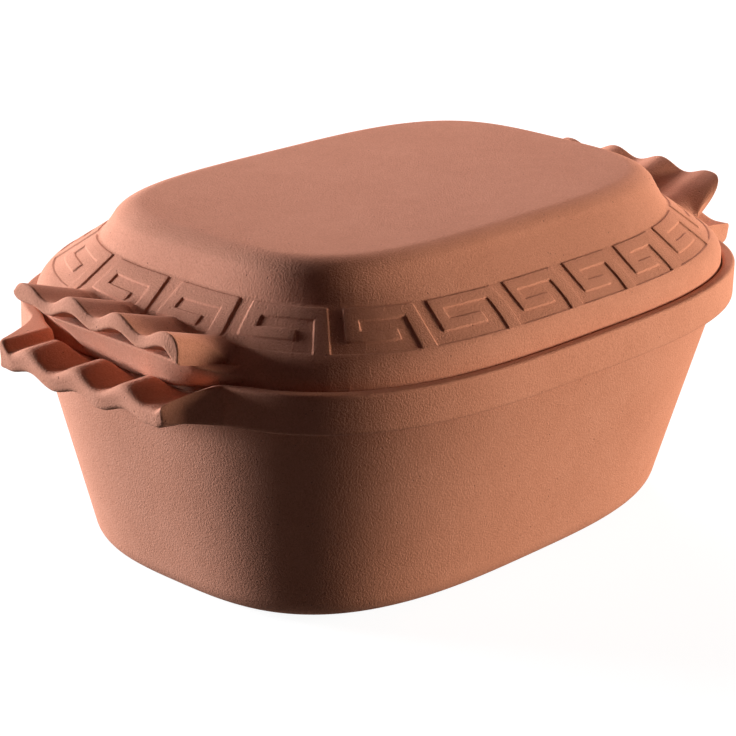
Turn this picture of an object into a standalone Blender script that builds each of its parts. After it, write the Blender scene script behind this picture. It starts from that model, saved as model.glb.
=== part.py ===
"""Clay roaster: a deep oval dish and its domed lid, both of unglazed fired clay with fluted handles at the ends.

Each piece is one moulding, so each is one closed loft. Stations stand round the oval, and a chain of points runs
over the section at every station. Near the two short ends the chain swells outward into the handle there.
X runs along the roaster, Y across it, and the foot stands on Z = 0.
"""
import math

import bpy
import numpy as np

# Plan of the dish's rim. A squareness of 2 is an ellipse, and higher values fill the corners.
RIM_HALF_LENGTH = 0.1785
RIM_HALF_WIDTH = 0.1310
RIM_SQUARENESS = 3.14

# Dish, heights from the foot
RIM_HEIGHT = 0.1242
RIM_BAND = 0.0186           # height of the proud band round the rim
BAND_STEP = 0.0037          # how far the band stands out from the wall
RIM_WALL = 0.0056           # thickness of the band above the ledge
RIM_ROUND = 0.0016
LEDGE_DEPTH = 0.0102        # from the rim's top down to the ledge that carries the lid
WALL_TOP_SQUARENESS = 2.80
FOOT_INSET = 0.0290         # from the rim's plan in to the foot's, which sets the flare
FOOT_SQUARENESS = 3.06
FOOT_RADIUS = 0.0158
WALL_THICKNESS = 0.0086
FLOOR_THICKNESS = 0.0080
INNER_RADIUS = 0.0120

# Lid, heights above the rim's top
LID_HEIGHT = 0.0454
BAND_TOP_HEIGHT = 0.0269
BAND_LOW_HEIGHT = 0.0133
SKIRT_TOP_HEIGHT = 0.0018   # where the shoulder has turned upright
TOP_INSET = 0.0540          # from the rim's plan in to the flat top's edge
TOP_SQUARENESS = 3.63
TOP_ROUND = 0.0141
TOP_ROUND_ANGLE = math.radians(55)
BAND_TOP_INSET_ENDS = 0.0343
BAND_TOP_INSET_SIDES = 0.0285
BAND_TOP_SQUARENESS = 3.29
BAND_WIDTH = 0.0197         # plan width of the patterned band
BAND_LOW_SQUARENESS = 3.05
CREASE_WIDTH = 0.0030       # plain strip between the crease and the pattern
LID_THICKNESS = 0.0080
SKIRT_THICKNESS = 0.0090
SEAT_CLEARANCE = 0.0007     # round the skirt, inside the rim
REST_GAP = 0.0003           # between the skirt's foot and the ledge

# Flutes, shared by all four handles
FLUTE_PITCH = 0.0311
FLUTE_RUN = 1.5             # pitches from the middle of a handle to its last ridge or trough
HANDLE_END = 0.0063         # from there on to the handle's end
RIGHT_HANDLE_SHIFT = -0.0030  # the right end's handles sit a little off the middle

# Dish handles
DISH_REACH_LEFT = 0.0255    # past the rim's plan
DISH_REACH_RIGHT = 0.0305
DISH_FLUTE_DROP = 0.0039    # from the rim's top to the middle of the flutes
DISH_FLUTE_DEPTH = 0.0029
DISH_FLUTE_LIFT = 0.0012    # how much higher the outer flutes sit than the middle one
DISH_HANDLE_THICKNESS = 0.0098
DISH_UNDER_DEPTH = 0.0020
DISH_UNDER_LIFT = 0.0006
POCKET_REACH = 0.0092       # the seat is wider at the ends, past the rim's plan

# Lid handles
LID_REACH_LEFT = 0.0147     # past the rim's plan
LID_REACH_RIGHT = 0.0187
LID_FLUTE_HEIGHT = 0.0239   # of the flutes' middle at the outer edge, above the rim's top
LID_FLUTE_DEPTH = 0.0029
LID_FLUTE_LIFT = -0.0013
LID_UNDER_DEPTH = 0.0022
LID_UNDER_LIFT = -0.0006
LID_HANDLE_THICKNESS = 0.0066
LID_HANDLE_SLOPE = 0.30     # the handle rises outward
LID_HANDLE_DEPTH = 0.0240   # from its edge in to the band
LID_CURL = 0.0064           # how far the handle's ends turn down
LIP_LEAN = 0.0017           # a handle's edge leans out from its top to its underside
LIP_ROUND = 0.0012
SHELF_HEIGHT = 0.0104       # top of the shelf under the handle, above the rim's top
SHELF_FOOT_DROP = 0.0023    # its underside, below the rim's top
SHELF_GAP = 0.0015          # between the shelf's face and the pocket's wall
SHELF_MARGIN = 0.0040       # clay left between the hollow under the handle and the shoulder

# Where each swelling starts and ends, measured from the handle's end, outward positive
HANDLE_HALF_WIDTH = FLUTE_RUN * FLUTE_PITCH + HANDLE_END
RIM_SWELL = (-0.0035, 0.0080)
BAND_LOW_SWELL = (-0.0030, 0.0160)
POCKET_SWELL = (-0.0200, 0.0190)
SHELF_TOP_SWELL = (-0.0030, 0.0120)
SHELF_FOOT_SWELL = (-0.0290, 0.0130)
HANDLE_WALL = (-0.0008, 0.0022)

# Mesh
STEPS_PER_FLUTE = 8
WALL_STATIONS = (-0.0035, -0.0010, 0.0005, 0.0020, 0.0050, 0.0090, 0.0135, 0.0190)
SIDE_STEP = 0.0110
SHARP_ANGLE = math.radians(38)
ARC_SHARE = 1 - math.sqrt(0.5)  # where the middle of a quarter round lies, as a share of its radius

CLAY = (0.47, 0.20, 0.125, 1.0)
CLAY_ROUGHNESS = 0.85


def smooth(value):
    value = np.clip(value, 0.0, 1.0)
    return value * value * (3.0 - 2.0 * value)


def fade(y, limits):
    """1 over the middle of a handle, falling smoothly to 0 between two places near its end."""
    start, end = limits
    return 1.0 - smooth((np.abs(y) - HANDLE_HALF_WIDTH - start) / (end - start))


def mix(a, b, share):
    return a + (b - a) * share


def outline(angles, half_length, half_width, squareness):
    """Points of the rounded oval in the given directions from its centre."""
    cosine, sine = np.cos(angles), np.sin(angles)
    reach = np.abs(cosine / half_length) ** squareness + np.abs(sine / half_width) ** squareness
    radius = reach ** (-1 / squareness)
    return radius * cosine, radius * sine


def end_angles(shift):
    """Directions of the stations round the right end, at set distances from its handle's middle."""
    half_flutes = int(FLUTE_RUN * STEPS_PER_FLUTE)
    flute_ys = np.arange(-half_flutes, half_flutes + 1) * FLUTE_PITCH / STEPS_PER_FLUTE
    walls = HANDLE_HALF_WIDTH + np.array(WALL_STATIONS)
    ys = np.concatenate([-walls[::-1], flute_ys, walls]) + shift
    xs = RIM_HALF_LENGTH * (1 - np.abs(ys / RIM_HALF_WIDTH) ** RIM_SQUARENESS) ** (1 / RIM_SQUARENESS)
    return np.arctan2(ys, xs)


def side_angles(start, stop):
    """Directions of the stations along a side, evenly spaced along the rim between the two ends."""
    fine = np.linspace(start, stop, 2000)
    x, y = outline(fine, RIM_HALF_LENGTH, RIM_HALF_WIDTH, RIM_SQUARENESS)
    along = np.concatenate([[0.0], np.cumsum(np.hypot(np.diff(x), np.diff(y)))])
    count = round(along[-1] / SIDE_STEP)
    return np.interp(np.linspace(0, along[-1], count + 1)[1:-1], along, fine)


RIGHT_END = end_angles(RIGHT_HANDLE_SHIFT)
LEFT_END = end_angles(0.0) + math.pi
ANGLES = np.concatenate([RIGHT_END, side_angles(RIGHT_END[-1], LEFT_END[0]),
                         LEFT_END, side_angles(LEFT_END[-1], RIGHT_END[0] + 2 * math.pi)])
END_SIGN = np.sign(np.cos(ANGLES))
RIM_Y = outline(ANGLES, RIM_HALF_LENGTH, RIM_HALF_WIDTH, RIM_SQUARENESS)[1]
HANDLE_SHIFT = np.where(END_SIGN > 0, RIGHT_HANDLE_SHIFT, 0.0)
DISH_REACH = np.where(END_SIGN > 0, DISH_REACH_RIGHT, DISH_REACH_LEFT)
LID_REACH = np.where(END_SIGN > 0, LID_REACH_RIGHT, LID_REACH_LEFT)


def ring(inset_ends, inset_sides, squareness, height):
    """A plain ring: the rim's plan drawn in by the two insets, at one height."""
    x, y = outline(ANGLES, RIM_HALF_LENGTH - inset_ends, RIM_HALF_WIDTH - inset_sides, squareness)
    return np.stack([x, y, np.full_like(x, height)], axis=1)


def rim_ring(inset, height, squareness=RIM_SQUARENESS):
    return ring(inset, inset, squareness, height)


def pull_out(plain, reach, height, share):
    """Draw a ring straight out along X, to the given reach past the rim's plan and to a new height."""
    out = plain.copy()
    out[:, 0] = mix(plain[:, 0], END_SIGN * (RIM_HALF_LENGTH + reach), share)
    out[:, 1] = mix(plain[:, 1], RIM_Y, share)
    out[:, 2] = mix(plain[:, 2], height, share)
    return out


def flutes(y, sign, depth, lift):
    """The wave of a handle's edge. Past the last ridge or trough it stays level, and lift raises the outer flutes."""
    run = FLUTE_RUN * FLUTE_PITCH
    inner = np.clip(np.abs(y), 0, run)
    return sign * depth * np.cos(2 * math.pi * inner / FLUTE_PITCH) + lift * (inner / run) ** 2


def past_run(y):
    """0 over the flutes, rising to 1 at the handle's end."""
    return np.clip((np.abs(y) - FLUTE_RUN * FLUTE_PITCH) / HANDLE_END, 0.0, 1.0)


def foot_arc(inset, base, radius, turns):
    """Rings round the quarter curve between a flat bottom and a wall, for turns in degrees from the bottom."""
    return [rim_ring(inset + radius * (1 - math.sin(math.radians(turn))),
                     base + radius * (1 - math.cos(math.radians(turn))), FOOT_SQUARENESS) for turn in turns]


def dish_rings():
    y = RIM_Y - HANDLE_SHIFT
    wall_top = RIM_HEIGHT - RIM_BAND
    ledge = RIM_HEIGHT - LEDGE_DEPTH
    rings = foot_arc(FOOT_INSET, 0.0, FOOT_RADIUS, (0, 25, 50, 75))
    upper = rim_ring(BAND_STEP, wall_top, WALL_TOP_SQUARENESS)
    rings += [mix(rings[-1], upper, 0.5), upper]

    # Rim band, drawn out at the ends into the handle
    top = RIM_HEIGHT - DISH_FLUTE_DROP + flutes(y, 1, DISH_FLUTE_DEPTH, DISH_FLUTE_LIFT)
    low = RIM_HEIGHT - DISH_FLUTE_DROP - DISH_HANDLE_THICKNESS + flutes(y, 1, DISH_UNDER_DEPTH, DISH_UNDER_LIFT)
    out_low, out_top = fade(y, BAND_LOW_SWELL), fade(y, RIM_SWELL)
    top = mix(RIM_HEIGHT, top, out_top)
    for inset, rise in ((RIM_ROUND, 0.0), (0.0, RIM_ROUND)):
        plain = rim_ring(inset, wall_top + rise)
        rings.append(pull_out(plain, DISH_REACH - inset - LIP_LEAN, low + rise, out_low))
    middle = ARC_SHARE * RIM_ROUND
    for inset, drop in ((0.0, RIM_ROUND), (middle, middle), (RIM_ROUND, 0.0)):
        plain = rim_ring(inset, RIM_HEIGHT - drop)
        rings.append(pull_out(plain, DISH_REACH - inset, top - drop, out_top))

    # Over the rim, down to the ledge, and the wider pocket for the lid's shelf at the ends
    pocket = fade(y, POCKET_SWELL)
    inner_edge = pull_out(rim_ring(RIM_WALL - RIM_ROUND, RIM_HEIGHT), POCKET_REACH + RIM_ROUND, top, pocket)
    inner_edge[:, 2] = mix(RIM_HEIGHT, top, out_top)
    rings += [mix(rings[-1], inner_edge, 0.5), inner_edge]
    face = pull_out(rim_ring(RIM_WALL, RIM_HEIGHT - RIM_ROUND), POCKET_REACH, top - RIM_ROUND, pocket)
    face[:, 2] = inner_edge[:, 2] - RIM_ROUND
    rings += [face, pull_out(rim_ring(RIM_WALL, ledge), POCKET_REACH, ledge, pocket)]

    # Inside
    lean = (FOOT_INSET - BAND_STEP) / (wall_top - FOOT_RADIUS)
    inside_top = rim_ring(BAND_STEP + WALL_THICKNESS - lean * (ledge - wall_top), ledge, WALL_TOP_SQUARENESS)
    floor = foot_arc(FOOT_INSET + WALL_THICKNESS, FLOOR_THICKNESS, INNER_RADIUS, (90, 60, 30, 0))
    return rings + [inside_top, mix(inside_top, floor[0], 0.5)] + floor


def shoulder(share):
    """Between the patterned band and the upright skirt, share 0 to 1 of the way down the rounded shoulder."""
    start = math.atan2(BAND_TOP_HEIGHT - BAND_LOW_HEIGHT, BAND_WIDTH)
    turn = mix(start, math.pi / 2, share)
    out = (math.sin(turn) - math.sin(start)) / (1 - math.sin(start))
    down = 1 - math.cos(turn) / math.cos(start)
    skirt = RIM_WALL + SEAT_CLEARANCE
    return ring(mix(BAND_TOP_INSET_ENDS - BAND_WIDTH, skirt, out), mix(BAND_TOP_INSET_SIDES - BAND_WIDTH, skirt, out),
                mix(BAND_LOW_SQUARENESS, RIM_SQUARENESS, out),
                RIM_HEIGHT + mix(BAND_LOW_HEIGHT, SKIRT_TOP_HEIGHT, down))


def band(share):
    """A ring of the patterned band, share 0 at its lower edge and 1 at the crease above it."""
    width = BAND_WIDTH * (1 - share)
    return ring(BAND_TOP_INSET_ENDS - width, BAND_TOP_INSET_SIDES - width,
                mix(BAND_LOW_SQUARENESS, BAND_TOP_SQUARENESS, share),
                RIM_HEIGHT + mix(BAND_LOW_HEIGHT, BAND_TOP_HEIGHT, share))


def top_arc(radius, height, shares):
    """Rings round the curved edge of a flat top at the given height."""
    rings = []
    for share in shares:
        turn = TOP_ROUND_ANGLE * share
        rings.append(rim_ring(TOP_INSET - radius * math.sin(turn), height - radius * (1 - math.cos(turn)),
                              TOP_SQUARENESS))
    return rings


def lid_inside_rings():
    """From the flat of the ceiling down to the skirt's foot."""
    slope = math.atan2(BAND_TOP_HEIGHT - BAND_LOW_HEIGHT, BAND_WIDTH)
    back, under = LID_THICKNESS * math.sin(slope), LID_THICKNESS * math.cos(slope)
    skirt_inside = RIM_WALL + SEAT_CLEARANCE + SKIRT_THICKNESS
    rings = top_arc(max(TOP_ROUND - LID_THICKNESS, RIM_ROUND), RIM_HEIGHT + LID_HEIGHT - LID_THICKNESS, (0, 0.5, 1))
    for in_from_top, squareness, height in ((CREASE_WIDTH, BAND_TOP_SQUARENESS, BAND_TOP_HEIGHT),
                                            (-BAND_WIDTH, BAND_LOW_SQUARENESS, BAND_LOW_HEIGHT)):
        rings.append(ring(max(BAND_TOP_INSET_ENDS + in_from_top + back, skirt_inside),
                          max(BAND_TOP_INSET_SIDES + in_from_top + back, skirt_inside),
                          squareness, RIM_HEIGHT + height - under))
    rings.append(rim_ring(skirt_inside, RIM_HEIGHT - SHELF_FOOT_DROP))
    rings.append(rim_ring(skirt_inside, RIM_HEIGHT - LEDGE_DEPTH + REST_GAP))
    return rings


def lid_rings():
    y = RIM_Y - HANDLE_SHIFT
    skirt = RIM_WALL + SEAT_CLEARANCE
    shelf_reach = POCKET_REACH - SHELF_GAP
    shelf_foot = RIM_HEIGHT - SHELF_FOOT_DROP
    shelf_top = RIM_HEIGHT + SHELF_HEIGHT
    rings = lid_inside_rings()
    rings += [rim_ring(skirt, RIM_HEIGHT - LEDGE_DEPTH + REST_GAP), rim_ring(skirt, shelf_foot)]

    # Shelf under the handle
    low_out, top_out = fade(y, SHELF_FOOT_SWELL), fade(y, SHELF_TOP_SWELL)
    face_foot = pull_out(shoulder(1.0), shelf_reach, shelf_foot, low_out)
    face_top = pull_out(shoulder(0.94), shelf_reach, shelf_top - LIP_ROUND, top_out)
    rings += [pull_out(rim_ring(skirt, RIM_HEIGHT), shelf_reach - LIP_ROUND, shelf_foot, low_out), face_foot]
    rings += [mix(face_foot, face_top, 0.5), face_top]
    rings.append(pull_out(shoulder(0.88), shelf_reach - LIP_ROUND, shelf_top, top_out))

    # Fluted handle: its hollow underside, its edge, and its top running in to the band
    curl = LID_CURL * (1 - np.sqrt(1 - past_run(y) ** 2))
    middle = RIM_HEIGHT + LID_FLUTE_HEIGHT - curl
    under = middle - LID_HANDLE_THICKNESS + flutes(y, -1, LID_UNDER_DEPTH, LID_UNDER_LIFT)
    over = middle + flutes(y, -1, LID_FLUTE_DEPTH, LID_FLUTE_LIFT)
    lip = LID_REACH + LIP_LEAN
    deepest = lip + BAND_TOP_INSET_ENDS - BAND_WIDTH - SHELF_MARGIN
    inmost = lip - np.clip((under - shelf_top) / LID_HANDLE_SLOPE, 0.0, deepest)
    chain = [
        (mix(inmost, shelf_reach, 0.5), shelf_top),
        (inmost, shelf_top),
        (mix(inmost, lip, 0.5), mix(shelf_top, under, 0.5)),
        (lip - LIP_ROUND, under),
        (lip, under + LIP_ROUND),
        (LID_REACH, over - LIP_ROUND),
    ]
    for inward in np.linspace(LIP_ROUND, LID_HANDLE_DEPTH, 4):
        chain.append((LID_REACH - inward, over - LID_HANDLE_SLOPE * inward))
    handle = fade(y, HANDLE_WALL)
    for share, (reach, height) in zip(np.linspace(0.8, 0.1, len(chain)), chain):
        rings.append(pull_out(shoulder(share), reach, height, handle))

    # Patterned band, raised where a ridge of the handle runs up on to it
    for share in (0.0, 0.35):
        body = band(share)
        ridge_over = middle + flutes(body[:, 1] - HANDLE_SHIFT, -1, LID_FLUTE_DEPTH, LID_FLUTE_LIFT)
        ridge = ridge_over - LID_HANDLE_SLOPE * (RIM_HALF_LENGTH + LID_REACH - np.abs(body[:, 0]))
        body[:, 2] = mix(body[:, 2], np.maximum(body[:, 2], ridge), handle)
        rings.append(body)
    rings.append(band(1.0))
    rise = CREASE_WIDTH * (BAND_TOP_HEIGHT - BAND_LOW_HEIGHT) / BAND_WIDTH
    rings.append(ring(BAND_TOP_INSET_ENDS + CREASE_WIDTH, BAND_TOP_INSET_SIDES + CREASE_WIDTH, BAND_TOP_SQUARENESS,
                      RIM_HEIGHT + BAND_TOP_HEIGHT + rise))
    return rings + top_arc(TOP_ROUND, RIM_HEIGHT + LID_HEIGHT, (1.0, 0.67, 0.33, 0.0))


def clay_material(name):
    material = bpy.data.materials.new(name)
    material.use_nodes = True
    shader = material.node_tree.nodes["Principled BSDF"]
    shader.inputs["Base Color"].default_value = CLAY
    shader.inputs["Roughness"].default_value = CLAY_ROUGHNESS
    shader.inputs["Metallic"].default_value = 0.0
    return material


def loft(name, rings, origin_height, collection):
    """Join each ring to the next and close the first and last with a flat face.

    The longer handles are at the right, so the oval sits a little left of the middle of the whole length.
    """
    points = np.concatenate(rings) - np.array([(DISH_REACH_RIGHT - DISH_REACH_LEFT) / 2, 0.0, origin_height])
    count = len(rings[0])
    faces = [tuple(range(count))[::-1]]
    for low in range(0, count * (len(rings) - 1), count):
        for k in range(count):
            after = (k + 1) % count
            faces.append((low + k, low + after, low + count + after, low + count + k))
    faces.append(tuple(range(count * (len(rings) - 1), count * len(rings))))
    mesh = bpy.data.meshes.new(name)
    mesh.from_pydata(points.tolist(), [], faces)
    mesh.materials.append(clay_material(name))
    mesh.shade_smooth()
    mesh.set_sharp_from_angle(angle=SHARP_ANGLE)
    piece = bpy.data.objects.new(name, mesh)
    piece.location = (0.0, 0.0, origin_height)
    collection.objects.link(piece)
    return piece


def main():
    for old in list(bpy.data.objects):
        bpy.data.objects.remove(old)
    collection = bpy.data.collections.new("clay_roaster")
    bpy.context.scene.collection.children.link(collection)
    loft("dish", dish_rings(), 0.0, collection)
    loft("lid", lid_rings(), RIM_HEIGHT - LEDGE_DEPTH + REST_GAP, collection)


main()
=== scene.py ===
# %% [markdown]
# # A clay roaster
# The object is a deep oval dish with a domed lid, both of unglazed fired clay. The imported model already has
# the right sizes, but it is made of flat facets. This script puts a finely made skin in place of each of its
# two pieces, carves the key pattern into the lid, and mixes a clay for both.

import math

import bpy
import numpy as np
from mathutils import Matrix, Vector


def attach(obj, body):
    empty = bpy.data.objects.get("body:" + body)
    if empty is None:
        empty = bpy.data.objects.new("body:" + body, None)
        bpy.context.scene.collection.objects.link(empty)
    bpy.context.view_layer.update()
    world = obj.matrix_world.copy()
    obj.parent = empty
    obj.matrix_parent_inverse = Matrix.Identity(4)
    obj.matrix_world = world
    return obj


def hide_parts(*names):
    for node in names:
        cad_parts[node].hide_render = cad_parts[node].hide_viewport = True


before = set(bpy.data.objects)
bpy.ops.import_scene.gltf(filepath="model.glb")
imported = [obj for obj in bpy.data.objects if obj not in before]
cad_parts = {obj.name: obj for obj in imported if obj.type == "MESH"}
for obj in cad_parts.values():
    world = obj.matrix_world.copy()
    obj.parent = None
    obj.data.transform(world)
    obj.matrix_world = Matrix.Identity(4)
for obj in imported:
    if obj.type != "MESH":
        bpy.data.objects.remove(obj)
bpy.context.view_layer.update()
print("packed pieces:", sorted(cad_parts))

# %% [markdown]
# ## The camera
# The photograph was taken from a little above the near left corner, with a long lens. A camera is placed by
# its eye point and by three turns: how far round the object it stands, how far it looks down, and how far it
# is tilted. Those turns make the camera's own right, up and back directions, the columns of its matrix.

# %% Camera
FRAME_PIXELS = 736
FOCAL_PIXELS = 2490.03
SENSOR_WIDTH = 36.0
CLIP_START = 0.05
EYE = Vector((-0.8749876, -0.7715892, 0.4940982))
TURN, LOOK_DOWN, TILT = (math.radians(angle) for angle in (-48.04, 19.87, 1.53))


def direction(turn, height):
    """Unit vector towards a place, by its turn round the object (0 is the near side) and its angle up."""
    return Vector((math.sin(turn) * math.cos(height), -math.cos(turn) * math.cos(height), math.sin(height)))


back = direction(TURN, LOOK_DOWN)
level = Vector((math.cos(TURN), math.sin(TURN), 0.0))
upright = back.cross(level)
right = level * math.cos(TILT) + upright * math.sin(TILT)
up = upright * math.cos(TILT) - level * math.sin(TILT)

camera_data = bpy.data.cameras.new("camera")
camera_data.sensor_width = SENSOR_WIDTH
camera_data.lens = FOCAL_PIXELS / FRAME_PIXELS * SENSOR_WIDTH
camera_data.clip_start = CLIP_START
camera = bpy.data.objects.new("camera", camera_data)
camera.matrix_world = Matrix((right, up, back)).transposed().to_4x4()
camera.location = EYE
bpy.context.scene.collection.objects.link(camera)
bpy.context.scene.camera = camera
print("lens in mm:", round(camera_data.lens, 1))

# %% [markdown]
# ## Sizes
# These are the sizes of the real roaster, in metres, measured on the photograph through the camera above. The
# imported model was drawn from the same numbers. An oval here is a superellipse: with a squareness of 2 it is
# an ellipse, and a higher number fills its corners. Every ring of the dish and the lid is the rim's oval
# drawn in by some inset. Where a size is a pair without another word, it is for the left and the right end.

# %% Sizes of the dish
# The longer handles are at the right, so the oval sits left of the whole length's middle.
BODY_SHIFT = -0.0025
RIM_HALF_LENGTH, RIM_HALF_WIDTH, RIM_SQUARENESS = 0.1785, 0.1310, 3.14
RIM_HEIGHT = 0.1242
BAND_BASE = 0.1056                      # underside of the proud band round the rim
BAND_STEP = 0.0037                      # how far that band stands out from the wall
RIM_WALL = 0.0056
LEDGE = 0.1140                          # height of the ledge that the lid sits on
WALL_SQUARENESS = 2.80
FOOT_INSET, FOOT_SQUARENESS, FOOT_RADIUS = 0.0290, 3.06, 0.0158
WALL_THICKNESS, FLOOR_THICKNESS, INNER_RADIUS = 0.0086, 0.0080, 0.0120

# %% Sizes of the lid
TOP = 0.1696
TOP_INSET, TOP_SQUARENESS = 0.0540, 3.63
TOP_ROUND, TOP_ROUND_ANGLE = 0.0141, math.radians(55)
BAND_WIDTH = 0.0197
BAND_LOW_HEIGHT, BAND_TOP_HEIGHT = 0.1375, 0.1511
BAND_TOP_INSETS = (0.0343, 0.0285)      # at the ends and along the sides
BAND_SQUARENESS = 3.17
BAND_LOW_SQUARENESS, BAND_TOP_SQUARENESS = 3.05, 3.29
CREASE_WIDTH, CREASE_HEIGHT = 0.0030, 0.1528
SEAT_CLEARANCE = 0.0007
SKIRT_INSET = RIM_WALL + SEAT_CLEARANCE
SKIRT_TOP, SKIRT_FOOT = 0.1260, 0.1143
LID_THICKNESS, SKIRT_THICKNESS = 0.0080, 0.0090

# %% Sizes of the handles
FLUTE_PITCH = 0.0311
HANDLE_RUN = 1.5 * FLUTE_PITCH          # from a handle's middle to its last ridge or trough
HANDLE_END = 0.0063                     # and from there to the handle's end
HANDLE_HALF_WIDTH = HANDLE_RUN + HANDLE_END
RIGHT_HANDLE_SHIFT = -0.0030            # the right handles sit towards the near side
DISH_REACH = (0.0255, 0.0305)           # past the rim's oval
DISH_FLUTES = dict(middle=(0.1198, 0.1203), depth=(0.0031, 0.0029), lift=0.0016)
DISH_UNDER = dict(middle=(0.1098, 0.1105), depth=0.0020, lift=(0.0018, 0.0012))
DISH_FLUTE_SHIFT = (0.0028, 0.0)        # the flutes' middle from the handle's middle
POCKET_REACH, POCKET_SLANT, POCKET_SCALLOP = 0.0038, 0.020, 0.0020
LIP_LEAN = 0.0017                       # the lower edge of a handle's outer face from its upper edge
LID_REACH = (0.0147, 0.0187)
LID_FLUTES = dict(middle=(0.1481, 0.1486), depth=(-0.0029, -0.0022), lift=(-0.0013, -0.0021))
LID_UNDER = dict(middle=0.1415, depth=-0.0022, lift=-0.0006)
LID_SLOPE, LID_HANDLE_DEPTH = 0.30, 0.0275
LID_STRETCH = (0.961, 1.0)              # widths of the lid's handles, as shares of the dish's
LID_NEAR_EXTRA = (0.0030, 0.0094)       # how much further they go than the dish's, at their near ends
LID_FAR_EXTRA = (0.0012, 0.0)           # and at their far ends
SHELF_REACH, SHELF_TOP, SHELF_MARGIN = 0.0077, 0.1346, 0.0040
SHELF_FLAT = 0.0024                     # how far the shelf's top is level behind its edge
SHELF_FOOT, SHELF_FOOT_REACH, SHELF_FOOT_SLANT, SHELF_FOOT_MOST = 0.1198, -0.0003, 0.13, 0.0030
print("length over the dish's handles in mm:", round(1000 * (2 * RIM_HALF_LENGTH + sum(DISH_REACH)), 1))

# %% [markdown]
# ## Stations and rings
# Both pieces are lofts. Stations stand all the way round, and each has a straight line in plan. A ring is one
# point on every line, where the line crosses an oval. The dish's lines run out from the centre. The lid's
# lines stand square to the middle of its patterned band, because the bars of the key pattern do so on the
# real lid. A few modifiers on a cylinder could give a plain oval pot, but not handles that grow out of it.


# %% Helpers for lofts
def smooth(share):
    share = np.clip(share, 0.0, 1.0)
    return share * share * (3.0 - 2.0 * share)


def mix(a, b, share):
    return a + (b - a) * share


def stack(x, y, height):
    return np.stack([x, y, np.broadcast_to(height, np.shape(x))], axis=1)


def oval(angles, half_length, half_width, squareness):
    cosine, sine = np.cos(angles), np.sin(angles)
    powers = np.abs(cosine / half_length) ** squareness + np.abs(sine / half_width) ** squareness
    radius = powers ** (-1 / squareness)
    return radius * cosine, radius * sine


def running_length(x, y):
    return np.concatenate([[0.0], np.cumsum(np.hypot(np.diff(x), np.diff(y)))])


# %% Stations
NEWTON_STEPS = 12


class Stations:
    """A straight line in plan for each station, given by a start on it and its outward way."""

    def __init__(self, starts, ways, stretch=1.0, flute_shift=0.0):
        self.starts, self.ways = starts, ways
        rim_x, self.rim_y = self.cross(RIM_HALF_LENGTH, RIM_HALF_WIDTH, RIM_SQUARENESS)
        self.side = np.sign(rim_x)
        self.across = (self.rim_y - self.at_end((0.0, RIGHT_HANDLE_SHIFT))) / self.at_end(stretch)
        self.flute = self.across - self.at_end(flute_shift)

    def cross(self, half_length, half_width, squareness):
        """Where each line crosses an oval, found by Newton's method."""
        sizes = np.array([half_length, half_width])
        far = np.zeros(len(self.starts))
        for _ in range(NEWTON_STEPS):
            scaled = (self.starts + self.ways * far[:, None]) / sizes
            powers = np.abs(scaled) ** (squareness - 1)
            size = (np.abs(scaled) * powers).sum(1) ** (1 / squareness)
            slope = (powers * np.sign(scaled) * self.ways / sizes).sum(1) * size ** (1 - squareness)
            far -= (size - 1.0) / slope
        return (self.starts + self.ways * far[:, None]).T

    def ring(self, inset, height, squareness=RIM_SQUARENESS):
        """The rim's oval drawn in by an inset, or by one at the ends and another along the sides."""
        ends, sides = inset if isinstance(inset, tuple) else (inset, inset)
        return stack(*self.cross(RIM_HALF_LENGTH - ends, RIM_HALF_WIDTH - sides, squareness), height)

    def at_end(self, size):
        """A size at every station, where a pair gives one for the left end and one for the right."""
        left, right = size if isinstance(size, tuple) else (size, size)
        return np.where(self.side > 0, right, left)

    def pulled(self, reach, height):
        """A ring drawn straight out along X to the given reach past the rim's oval."""
        return stack(self.side * (RIM_HALF_LENGTH + reach), self.rim_y, height)

    def pull(self, ring, reach, height, share):
        return mix(ring, self.pulled(reach, height), share[:, None])

    def by_end(self, near, far):
        """One set of values at the handles' near ends, and another at their far ends."""
        return np.where(self.across < 0, near, far)

    def fade(self, start, end):
        """1 over the middle of a handle, falling smoothly to 0 between two places, measured past its end."""
        return 1.0 - smooth((np.abs(self.across) - HANDLE_HALF_WIDTH - start) / (end - start))

    def sweep(self, start, end, power):
        """1 over a handle, then falling fast at first and slowly at last, as a drawn-out rim does."""
        past = np.clip((np.abs(self.across) - HANDLE_HALF_WIDTH - start) / (end - start), 0.0, 1.0)
        return (1.0 - past) ** power

    def past_run(self, width):
        """0 over the flutes, rising evenly to 1 at a width past the last ridge or trough."""
        return np.clip((np.abs(self.across) - HANDLE_RUN) / width, 0.0, 1.0)

    def wave(self, middle, depth, lift):
        """Height of a handle's fluted edge, level past its last ridge or trough."""
        inner = np.clip(np.abs(self.flute), 0.0, HANDLE_RUN)
        curve = np.cos(2 * math.pi * inner / FLUTE_PITCH)
        rise = self.at_end(lift) * (inner / HANDLE_RUN) ** 2
        return self.at_end(middle) + self.at_end(depth) * curve + rise


# %% [markdown]
# A section is a chain of rings where the clay turns a corner. Real clay has no sharp corner, so each one is
# rounded with a quadratic curve. The curve starts a radius before the corner and ends a radius after it, at
# every station. A bevel modifier would do the same all over, but here each corner has a radius of its own.


# %% Rounded chains
MOST_OF_WAY = 0.48          # of the way to the next corner, so that two curves never meet
TINY = 1e-9


def toward(ring, other, distance):
    """Points moved along the way to another ring, by a distance that is at most a share of the whole way."""
    way = other - ring
    length = np.maximum(np.linalg.norm(way, axis=1), TINY)
    return ring + way * (np.minimum(distance, MOST_OF_WAY * length) / length)[:, None]


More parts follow.
